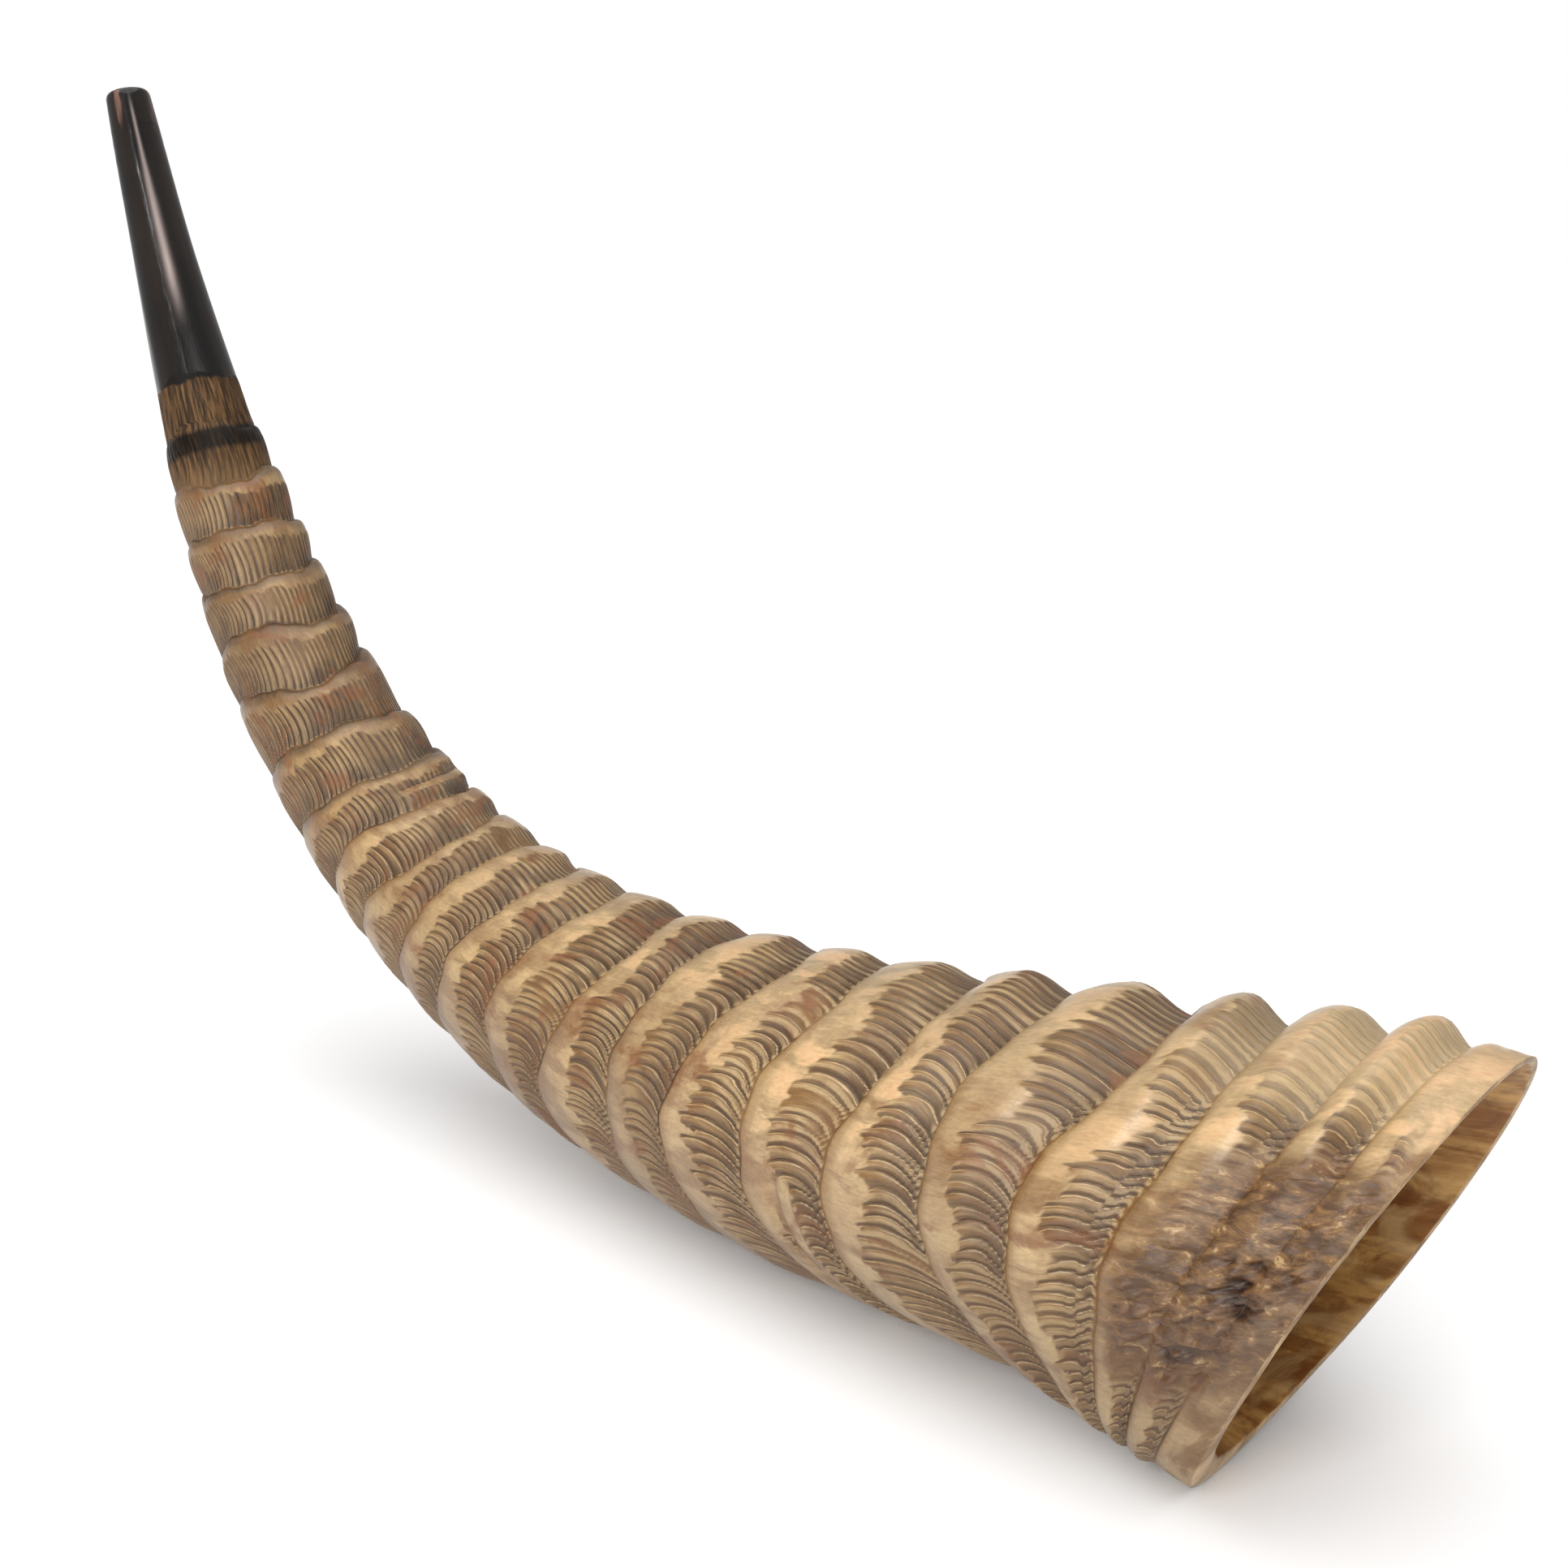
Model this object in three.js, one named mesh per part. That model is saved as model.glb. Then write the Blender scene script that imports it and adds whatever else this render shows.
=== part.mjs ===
// Shofar: a ringed antelope horn, bored at the tip and sawn open at the base.
// Millimetres. +X runs towards the bell, +Z is up, and the horn bends in the XZ plane.
// The origin is on the floor, under the middle of the bounding box.
import * as THREE from 'three';

// ---- centre line ----
const LENGTH = 600;          // along the curve, from the lip to the middle of the mouth
const TIP_SLOPE = -77.3;     // degrees: the tip points almost straight up
const BEND = 85.2;           // degrees turned between the tip and the bell
const BEND_AT = 0.427;       // where the bend is tightest, as a share of the length
const BEND_SPREAD = 0.118;   // how widely the bend is spread

// ---- outside ----
const LIP_R = 6.8;           // outside radius at the blowing end
const TAPER = 38.7;          // radius gained by the mouth
const BELLY = 3.4;           // extra radius round the middle of the horn
const UNDERSIDE = [          // the underside is rubbed flat in the bend and full under the belly
  { at: 0.437, spread: 0.122, gain: -2.3 },
  { at: 0.745, spread: 0.152, gain: 3.7 },
];
const KEEL_FROM = 0.84;      // from here the round section draws out towards the shape of the mouth
const KEEL = { at: 205, width: 28, gain: 19 };       // degrees from the top: a blunt corner, near side
const SHOULDER = { at: 308, width: 32, gain: -4 };   // flattened above it
const FLANK = 4.5;           // taken off both flanks: the mouth is narrower than it is tall
const SCRAPED = 1.2;         // taken off the tip where it was filed and polished
const POLISH_END = 0.160;    // share of the length that is polished black
const NECK_END = 0.205;      // share of the length that is scraped but not polished

// ---- growth rings ----
const FIRST_RING = 0.189;
const RING_COUNT = 23;
const PITCH = 18.3;          // spacing of the rings near the tip
const WIDER = [              // stretches of good growth, where the rings stand further apart
  { at: 0.365, spread: 0.070, gain: 5.3 },
  { at: 0.591, spread: 0.061, gain: 7.8 },
  { at: 0.773, spread: 0.121, gain: 11 },
];
const CROWDED_FROM = 0.81;   // the rings close up from here to the mouth
const CROWDING = 17;
const RELIEF_TIP = 1.5;      // height of a ring from notch to crest, at the tip end
const RELIEF_GAIN = 1.8;     // more height by the mouth
const RELIEF_LATE = 1.8;     // and more again for the last few rings
const SWEEP = [0.48, 0.60];  // how far a ring swings towards the tip on the flanks, in radii
const SAG = [0.06, -1.0];    // how far it swings underneath
const LEAN = 0.19;           // how far it leans towards the tip on the far flank

// ---- bore and wall ----
const CUP_R = 4.5;
const CUP_DEPTH = 7.5;
const THROAT_R = 1.9;
const BORE_GAIN = 7;         // the drilled bore widens by this much per length
const HOLLOW_FROM = 0.15;    // the horn's natural hollow takes over from the bore here
const HOLLOW_TO = 0.42;
const WALL_THROAT = 5.4;     // wall under the crests where the hollow begins
const WALL_MOUTH = 4.4;      // wall under the crests at the sawn rim

// ---- saw cut at the mouth ----
const CUT_SLANT = 0.63;      // rise of the cut along the axis per radius: the top reaches furthest
const CUT_BLEND = 0.86;      // rings turn parallel to the cut from here on

const AROUND = 36;           // facets round the horn
const STEPS = 1200;

const rad = THREE.MathUtils.degToRad;
const step = THREE.MathUtils.smoothstep;
const swell = (s, { at, spread, gain }) => gain * Math.exp(-(((s - at) / spread) ** 2));

// Centre line as points and slopes, carried a little past the mouth.
const line = [{ x: 0, z: 0, slope: slopeAt(0) }];
for (let i = 1; i <= STEPS * 1.12; i++) {
  const mid = slopeAt((i - 0.5) / STEPS);
  const last = line[i - 1];
  const d = LENGTH / STEPS;
  line.push({ x: last.x + Math.cos(mid) * d, z: last.z + Math.sin(mid) * d, slope: slopeAt(i / STEPS) });
}

function slopeAt(s) {
  return rad(TIP_SLOPE + BEND / (1 + Math.exp(-(s - BEND_AT) / BEND_SPREAD)));
}

function centre(s) {
  const t = THREE.MathUtils.clamp(s * STEPS, 0, line.length - 1.001);
  const i = Math.floor(t);
  const k = t - i;
  const [a, b] = [line[i], line[i + 1]];
  return { x: a.x + (b.x - a.x) * k, z: a.z + (b.z - a.z) * k, slope: a.slope + (b.slope - a.slope) * k };
}

// A point at radius r and angle phi from the top of the section at s.
function place(s, r, phi) {
  const c = centre(s);
  const up = r * Math.cos(phi);
  return new THREE.Vector3(c.x - Math.sin(c.slope) * up, r * Math.sin(phi), c.z + Math.cos(c.slope) * up);
}

function roundRadius(s) {
  return LIP_R + TAPER * s + BELLY * Math.sin(Math.PI * Math.min(s, 1.1) ** 1.25);
}

function corner(s, phi, { at, width, gain }) {
  const away = Math.abs(Math.atan2(Math.sin(phi - rad(at)), Math.cos(phi - rad(at))));
  return gain * step(s, KEEL_FROM, 1) * Math.exp(-((away / rad(width)) ** 2));
}

// Radius under the rings at angle phi from the top.
function meanRadius(s, phi) {
  const under = ((1 - Math.cos(phi)) / 2) ** 1.5;
  const full = UNDERSIDE.reduce((sum, u) => sum + swell(s, u), 0);
  const flank = FLANK * step(s, KEEL_FROM, 1) * Math.sin(phi) ** 2;
  return roundRadius(s) + full * under + corner(s, phi, KEEL) + corner(s, phi, SHOULDER) - flank;
}

// Ring starts, from the tip to the mouth.
const rings = [];
for (let s = FIRST_RING; rings.length < RING_COUNT;) {
  rings.push(s);
  const pitch = WIDER.reduce((sum, w) => sum + swell(s, w), PITCH);
  s += pitch * (1 - CROWDING * Math.max(s - CROWDED_FROM, 0) ** 2) / LENGTH;
}
rings.push(1);

// Sawtooth of one ring: a sharp step up on the tip side, a round crest, a long slope down.
const PROFILE = [[0, -0.45], [0.09, 0.34], [0.28, 0.55], [0.62, 0.06]];

function outerRadius(s, phi, lift) {
  const height = RELIEF_TIP + RELIEF_GAIN * s + RELIEF_LATE * step(s, 0.76, 0.86);
  const relief = height * (0.66 + 0.34 * Math.cos(phi));
  const scraped = SCRAPED * step(s, 0, 0.1) * (1 - step(s, POLISH_END, NECK_END));
  return meanRadius(s, phi) - scraped + relief * lift;
}

function innerRadius(s, phi) {
  const bore = THROAT_R + BORE_GAIN * s;
  const wall = WALL_THROAT + (WALL_MOUTH - WALL_THROAT) * step(s, HOLLOW_TO, 1);
  const open = meanRadius(s, phi) - 0.35 * corner(s, phi, KEEL);
  return bore + (open - wall - bore) * step(s, HOLLOW_FROM, HOLLOW_TO);
}

// Distance past the saw cut.
const rim = centre(1);
const cutNormal = new THREE.Vector3(
  Math.cos(rim.slope) + CUT_SLANT * Math.sin(rim.slope), 0,
  Math.sin(rim.slope) - CUT_SLANT * Math.cos(rim.slope)).normalize();
const cutPoint = place(1, 0, 0);

function pastCut(s, radius, phi) {
  return place(s, radius(s, phi), phi).sub(cutPoint).dot(cutNormal);
}

// Where the wall at angle phi meets the cut.
function cutAt(radius, phi) {
  let [low, high] = [0.8, 1.11];
  for (let i = 0; i < 40; i++) {
    const mid = (low + high) / 2;
    if (pastCut(mid, radius, phi) > 0) high = mid; else low = mid;
  }
  return (low + high) / 2;
}

// Position along the horn of row s at angle phi: swept like the rings, then bent to the cut.
function along(s, phi, radius) {
  const flank = (SWEEP[0] + SWEEP[1] * (s - 0.6)) * Math.sin(phi) ** 2;
  const under = (SAG[0] + SAG[1] * (s - 0.6)) * (1 - Math.cos(phi)) / 2;
  const swing = flank + under + LEAN * Math.sin(phi);
  const swept = s - step(s, 0.12, 0.36) * swing * roundRadius(s) / LENGTH;
  const turn = step(s, CUT_BLEND, 1);
  if (turn === 0) return swept;
  return swept + (s - 1 + cutAt(radius, phi) - swept) * turn;
}

function row(s, radius) {
  return Array.from({ length: AROUND }, (_, i) => {
    const phi = 2 * Math.PI * i / AROUND;
    const at = along(s, phi, radius);
    return place(at, radius(at, phi), phi);
  });
}

const outerRow = (s, lift) => row(s, (at, phi) => outerRadius(at, phi, lift));
const innerRow = (s) => row(s, innerRadius);

// One zone of the horn: a closed sleeve from the outer rows back along the inner rows.
function sleeve(name, outer, inner, colour, roughness) {
  const loops = [...outer, ...[...inner].reverse()];
  const index = [];
  loops.forEach((_, k) => {
    const a = k * AROUND;
    const b = ((k + 1) % loops.length) * AROUND;
    const back = k === loops.length - 1;
    for (let i = 0; i < AROUND; i++) {
      const j = (i + 1) % AROUND;
      if (back) index.push(a + i, b + i, b + j, a + i, b + j, a + j);
      else if (k === outer.length - 1) index.push(a + i, b + i, a + j, a + j, b + i, b + j);
      else index.push(a + i, b + i, b + j, a + i, b + j, a + j);
    }
  });
  const geometry = new THREE.BufferGeometry();
  geometry.setAttribute('position', new THREE.Float32BufferAttribute(
    loops.flat().flatMap((p) => [p.x, p.y, p.z]), 3));
  geometry.setIndex(index);
  geometry.computeVertexNormals();
  const material = new THREE.MeshStandardMaterial({ color: colour, roughness, metalness: 0 });
  const mesh = new THREE.Mesh(geometry, material);
  mesh.name = name;
  return mesh;
}

// Outer rows between two shares of the length, both ends included.
function outerRows(from, to) {
  const rows = [{ s: from, lift: liftAt(from) }];
  rings.slice(0, -1).forEach((start, k) => {
    for (const [share, lift] of PROFILE) {
      const s = start + share * (rings[k + 1] - start);
      const worn = liftAt(start) + (lift - liftAt(start)) * (1 - 0.7 * step(start, 0.96, 0.975));
      if (s > from + 1e-6 && s < to - 1e-6) rows.push({ s, lift: worn });
    }
  });
  rows.push({ s: to, lift: liftAt(to) });
  return rows.map(({ s, lift }) => outerRow(s, lift));
}

function liftAt(s) {
  if (s < rings[0]) return 0;
  return PROFILE[0][1];
}

function innerRows(from, to, spacing) {
  const n = Math.max(1, Math.round((to - from) / spacing));
  return Array.from({ length: n + 1 }, (_, i) => innerRow(from + (to - from) * i / n));
}

// ---- the blowing end: a rounded lip round a small cup ----
const LIP_END = 0.02;
const lipOuter = [[0, 5.4], [0.35, 6.1], [1.1, 6.65], [2.4, 6.95]].map(([t, r]) => row(t / LENGTH, () => r));
lipOuter.push(outerRow(LIP_END, 0));
const lipInner = [[0, CUP_R], [0.8, CUP_R - 0.35], [3, 3.5], [5.6, 2.4], [CUP_DEPTH, THROAT_R + 0.1]]
  .map(([t, r]) => row(t / LENGTH, () => r));
lipInner.push(innerRow(LIP_END));

// ---- zone ends: every one after the neck lies in a notch between two rings ----
const notch = (share) => rings.reduce((a, b) => (Math.abs(b - share) < Math.abs(a - share) ? b : a));
const UPPER_END = notch(0.45);
const MIDDLE_END = notch(0.74);
const NECK_SEAM = notch(0.23);

const plainRows = (from, to, n) =>
  Array.from({ length: n + 1 }, (_, i) => outerRow(from + (to - from) * i / n, 0));

const parts = [
  sleeve('mouthpiece_lip', lipOuter, lipInner, '#1d1815', 0.22),
  sleeve('polished_tip', plainRows(LIP_END, POLISH_END, 8), innerRows(LIP_END, POLISH_END, 0.035),
    '#1a1613', 0.2),
  sleeve('scraped_neck', outerRows(POLISH_END, NECK_SEAM), innerRows(POLISH_END, NECK_SEAM, 0.035),
    '#75583a', 0.5),
  sleeve('ring_zone_upper', outerRows(NECK_SEAM, UPPER_END), innerRows(NECK_SEAM, UPPER_END, 0.03),
    '#94784f', 0.6),
  sleeve('ring_zone_middle', outerRows(UPPER_END, MIDDLE_END), innerRows(UPPER_END, MIDDLE_END, 0.04),
    '#b2926a', 0.55),
  sleeve('bell', outerRows(MIDDLE_END, 1), innerRows(MIDDLE_END, 1, 0.03), '#bb9c72', 0.55),
];

// Stand the horn on the floor with the origin under the middle of its bounding box.
const box = new THREE.Box3();
parts.forEach((p) => box.union(new THREE.Box3().setFromBufferAttribute(p.geometry.attributes.position)));
const middle = box.getCenter(new THREE.Vector3());
parts.forEach((p) => p.geometry.translate(-middle.x, -middle.y, -box.min.z));

const group = new THREE.Group();
group.name = 'shofar';
group.add(...parts);
export default group;
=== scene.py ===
"""Looks of the shofar: one ringed horn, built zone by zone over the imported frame. Metres throughout."""
import math
import bpy
import numpy as np
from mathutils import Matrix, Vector


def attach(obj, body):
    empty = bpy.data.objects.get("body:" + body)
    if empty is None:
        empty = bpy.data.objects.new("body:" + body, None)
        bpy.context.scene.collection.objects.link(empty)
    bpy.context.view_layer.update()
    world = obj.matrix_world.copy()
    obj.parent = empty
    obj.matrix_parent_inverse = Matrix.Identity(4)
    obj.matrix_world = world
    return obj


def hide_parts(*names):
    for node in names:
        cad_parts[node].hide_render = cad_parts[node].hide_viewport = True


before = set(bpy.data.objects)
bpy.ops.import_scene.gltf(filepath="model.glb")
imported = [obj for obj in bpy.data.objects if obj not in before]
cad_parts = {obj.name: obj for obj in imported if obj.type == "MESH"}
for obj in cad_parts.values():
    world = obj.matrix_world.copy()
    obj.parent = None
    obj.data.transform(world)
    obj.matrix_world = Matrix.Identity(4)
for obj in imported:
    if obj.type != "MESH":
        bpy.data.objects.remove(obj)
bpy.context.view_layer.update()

MM = 0.001
TAU = 2 * math.pi

# ---- the horn's driving dimensions, the same as the solid's ----
LENGTH = 600.0
TIP_SLOPE, BEND, BEND_AT, BEND_SPREAD = -77.3, 85.2, 0.427, 0.118
LIP_R, TAPER, BELLY, SCRAPED = 6.8, 38.7, 3.4, 1.2
UNDERSIDE = ((0.437, 0.122, -2.3), (0.745, 0.152, 3.7))            # place, spread and gain of each swell
KEEL_FROM, FLANK = 0.84, 4.5
KEEL = (math.radians(205), math.radians(28), 19)                   # angle, width and gain of a corner
SHOULDER = (math.radians(308), math.radians(32), -4)
POLISH_END, NECK_END, LIP_END = 0.160, 0.205, 0.02
FIRST_RING, RING_COUNT, PITCH = 0.189, 23, 18.3
WIDER = ((0.365, 0.070, 5.3), (0.591, 0.061, 7.8), (0.773, 0.121, 11))
CROWDED_FROM, CROWDING = 0.81, 17
RELIEF_TIP, RELIEF_GAIN, RELIEF_LATE = 1.5, 1.8, 1.8
SWEEP, SAG, LEAN = (0.48, 0.60), (0.06, -1.0), 0.19
THROAT_R, BORE_GAIN = 1.9, 7.0
HOLLOW_FROM, HOLLOW_TO, WALL_THROAT, WALL_MOUTH = 0.15, 0.42, 5.4, 4.4
CUT_SLANT, CUT_BLEND = 0.63, 0.86
STEPS = 1200
LIP_AT = (-235.198, 0.060, 301.991)   # where the centre line starts in the shared frame

# ---- surface detail ----
FLUTE_WIDTH = (1.8, 2.7)              # spacing of the flutes round the horn, at the tip end and at the bell
FLUTE_DEPTH = (0.44, 0.54)
FLUTE_CURL = 0.09                     # how far a flute curls down before the next ring, radians
FLUTE_BOW = 0.06                      # and how far it bows upwards on the way
RUBBED_AT, RUBBED_SPREAD = 0.455, 0.07   # the worn patch under the bend
GLEAM_ANGLE = math.radians(-28)          # the painted highlight of the black tip
STRIP_ANGLE = math.radians(-60)          # where the scraped strip along the rim is narrowest
TOP_ANGLE, CREST_ANGLE = 0.15, -0.15     # where the painted highlight along the top of the bell, and along the crests, is centred, in radians


def step(x, a, b):
    t = np.clip((np.asarray(x, float) - a) / (b - a), 0, 1)
    return t * t * (3 - 2 * t)


def mix(a, b, t):
    return a + (b - a) * t


# ---------------------------------------------------------------- seeded noise
_dice = np.random.RandomState(18).rand(65536) * 2 - 1


def noise(x, y, z, seed=0):
    """Smooth value noise in -1..1."""
    x, y, z = np.broadcast_arrays(x, y, z)
    cells, parts = [], []
    for v in (x, y, z):
        c = np.floor(v)
        f = v - c
        cells.append(c.astype(np.int64))
        parts.append(f * f * f * (f * (f * 6 - 15) + 10))
    total = 0
    for i in (0, 1):
        for j in (0, 1):
            for k in (0, 1):
                h = ((cells[0] + i) * 73856093) ^ ((cells[1] + j) * 19349663)
                h = h ^ ((cells[2] + k) * 83492791) ^ (seed * 2654435)
                w = ((parts[0] if i else 1 - parts[0]) * (parts[1] if j else 1 - parts[1])
                     * (parts[2] if k else 1 - parts[2]))
                total = total + w * _dice[(h ^ (h >> 16)) & 65535]
    return total


def fbm(x, y, z, octaves=3, seed=0):
    total, gain, scale = 0, 1.0, 1.0
    for o in range(octaves):
        total = total + gain * noise(x * scale, y * scale, z * scale, seed + o)
        gain, scale = gain * 0.5, scale * 2.03
    return total / 1.75


# ---------------------------------------------------------------- centre line and section
def slope_at(s):
    return np.radians(TIP_SLOPE + BEND / (1 + np.exp(-(s - BEND_AT) / BEND_SPREAD)))


LINE_END = 1.12                       # the line runs on past the mouth, for the slanted cut
line_steps = int(STEPS * LINE_END)
slopes = slope_at((np.arange(1, line_steps + 1) - 0.5) / STEPS)
LINE_S = np.arange(line_steps + 1) / STEPS
LINE_X = np.r_[0, np.cumsum(np.cos(slopes))] * LENGTH / STEPS + LIP_AT[0]
LINE_Z = np.r_[0, np.cumsum(np.sin(slopes))] * LENGTH / STEPS + LIP_AT[2]


def place(s, r, phi):
    """Points in millimetres, at radius r and angle phi from the top of the section at s."""
    x, z, a = np.interp(s, LINE_S, LINE_X), np.interp(s, LINE_S, LINE_Z), slope_at(s)
    up = r * np.cos(phi)
    return np.stack(np.broadcast_arrays(x - np.sin(a) * up, LIP_AT[1] + r * np.sin(phi),
                                        z + np.cos(a) * up), -1)


def round_radius(s):
    return LIP_R + TAPER * s + BELLY * np.sin(np.pi * np.minimum(np.maximum(s, 0), 1.1) ** 1.25)


def swells(s, terms):
    return sum(gain * np.exp(-((s - at) / spread) ** 2) for at, spread, gain in terms)


def apart(phi, angle):
    """How far an angle lies from another, either way round."""
    return np.abs(np.angle(np.exp(1j * (phi - angle))))


def phi_signed(phi):
    """The angle in -pi..pi, below zero on the near side."""
    return np.arctan2(np.sin(phi), np.cos(phi))


def corner(s, phi, shape):
    angle, width, gain = shape
    return gain * step(s, KEEL_FROM, 1) * np.exp(-(apart(phi, angle) / width) ** 2)


def mean_radius(s, phi):
    under = ((1 - np.cos(phi)) / 2) ** 1.5
    flank = FLANK * step(s, KEEL_FROM, 1) * np.sin(phi) ** 2
    return (round_radius(s) + swells(s, UNDERSIDE) * under
            + corner(s, phi, KEEL) + corner(s, phi, SHOULDER) - flank)


def relief_at(s, phi):
    return (RELIEF_TIP + RELIEF_GAIN * s + RELIEF_LATE * step(s, 0.76, 0.86)) * (0.66 + 0.34 * np.cos(phi))


def ring_starts():
    rings, s = [], FIRST_RING
    for _ in range(RING_COUNT):
        rings.append(s)
        s += (PITCH + swells(s, WIDER)) * (1 - CROWDING * max(s - CROWDED_FROM, 0) ** 2) / LENGTH
    return np.array(rings + [1.0])


RINGS = ring_starts()
LAST = len(RINGS) - 1


def notch(share):
    return int(np.argmin(np.abs(RINGS - share)))


def ring_line(k, phi):
    """Where ring k starts at each angle: the notch wanders a little round the horn."""
    if k >= LAST:
        return np.ones_like(phi)
    gap = RINGS[min(k + 1, LAST)] - RINGS[k]
    wander = (0.075 * np.sin(2 * phi + 3.1 * k) + 0.05 * np.sin(3 * phi + 1.7 * k + 1)
              + 0.03 * np.sin(7 * phi + 2.3 * k) + 0.014 * np.sin(17 * phi + 4.1 * k))
    return RINGS[k] + gap * wander * (1 - 0.8 * step(RINGS[k], 0.93, 1))


def inner_radius(s, phi):
    drilled = THROAT_R + BORE_GAIN * s
    wall = WALL_THROAT + (WALL_MOUTH - WALL_THROAT) * step(s, HOLLOW_TO, 1)
    hollow = mean_radius(s, phi) - 0.35 * corner(s, phi, KEEL)
    return drilled + (hollow - wall - drilled) * step(s, HOLLOW_FROM, HOLLOW_TO)


def rim_radius(s, phi):
    return mean_radius(s, phi) - 0.45 * relief_at(s, phi)


mouth_slope = slope_at(1.0)
CUT_POINT = place(1.0, 0.0, 0.0)
CUT_NORMAL = np.array([math.cos(mouth_slope) + CUT_SLANT * math.sin(mouth_slope), 0,
                       math.sin(mouth_slope) - CUT_SLANT * math.cos(mouth_slope)])
CUT_NORMAL /= np.linalg.norm(CUT_NORMAL)


def cut_at(radius, phi):
    """Where the wall at each angle meets the saw cut."""
    low, high = np.full_like(phi, 0.8), np.full_like(phi, 1.11)
    for _ in range(34):
        mid = (low + high) / 2
        past = (place(mid, radius(mid, phi), phi) - CUT_POINT) @ CUT_NORMAL > 0
        high, low = np.where(past, mid, high), np.where(past, low, mid)
    return (low + high) / 2


def along(s, phi, cut):
    """The place along the horn of row s: swept like the rings, then turned parallel to the cut."""
    flank = (SWEEP[0] + SWEEP[1] * (s - 0.6)) * np.sin(phi) ** 2
    under = (SAG[0] + SAG[1] * (s - 0.6)) * (1 - np.cos(phi)) / 2
    swept = s - step(s, 0.12, 0.36) * (flank + under + LEAN * np.sin(phi)) * round_radius(s) / LENGTH
    return swept + (s - 1 + cut - swept) * step(s, CUT_BLEND, 1)


# ---------------------------------------------------------------- relief of the growth rings
BELL_SHAPE = np.array([[0, -.45], [.015, -.30], [.04, -.06], [.08, .10], [.14, .24], [.22, .38], [.32, .50],
                       [.42, .56], [.50, .55], [.58, .45], [.66, .26], [.74, .02], [.81, -.18], [.88, -.34],
                       [.94, -.42], [1, -.45]])
TIP_SHAPE = np.array([[0, -.45], [.025, -.12], [.06, .24], [.11, .44], [.18, .54], [.28, .57], [.40, .50],
                      [.52, .36], [.65, .17], [.78, -.06], [.89, -.28], [1, -.45]])

# Short extra rings: ring, share of its period, centre angle, half width in degrees, strength.
FORKS = (
    (notch(0.78), 0.46, -128, 44, 1.0),
    (notch(0.43), 0.50, 12, 42, 0.8),
    (notch(0.60), 0.50, -150, 34, 0.8),
    (notch(0.31), 0.48, 150, 60, 0.7),
    (notch(0.66), 0.55, 95, 50, 0.7),
    (notch(0.86), 0.52, 120, 40, 0.8),
)

# Dark pits in the crust: place, angle in degrees, half width in radians, strength.
PITS = ((0.986, -46, 0.26, 1.0), (0.981, -84, 0.22, 0.8), (0.974, -109, 0.18, 0.9))


def gleam_at(s, phi):
    """A painted highlight: a pale streak down the near side of the black tip."""
    width = 0.06 + 0.07 * step(s, 0.02, 0.07)
    ends = step(s, 0.0, 0.02) * (1 - step(s, 0.095, 0.135))
    return np.exp(-(apart(phi, GLEAM_ANGLE) / width) ** 2) * ends


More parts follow.
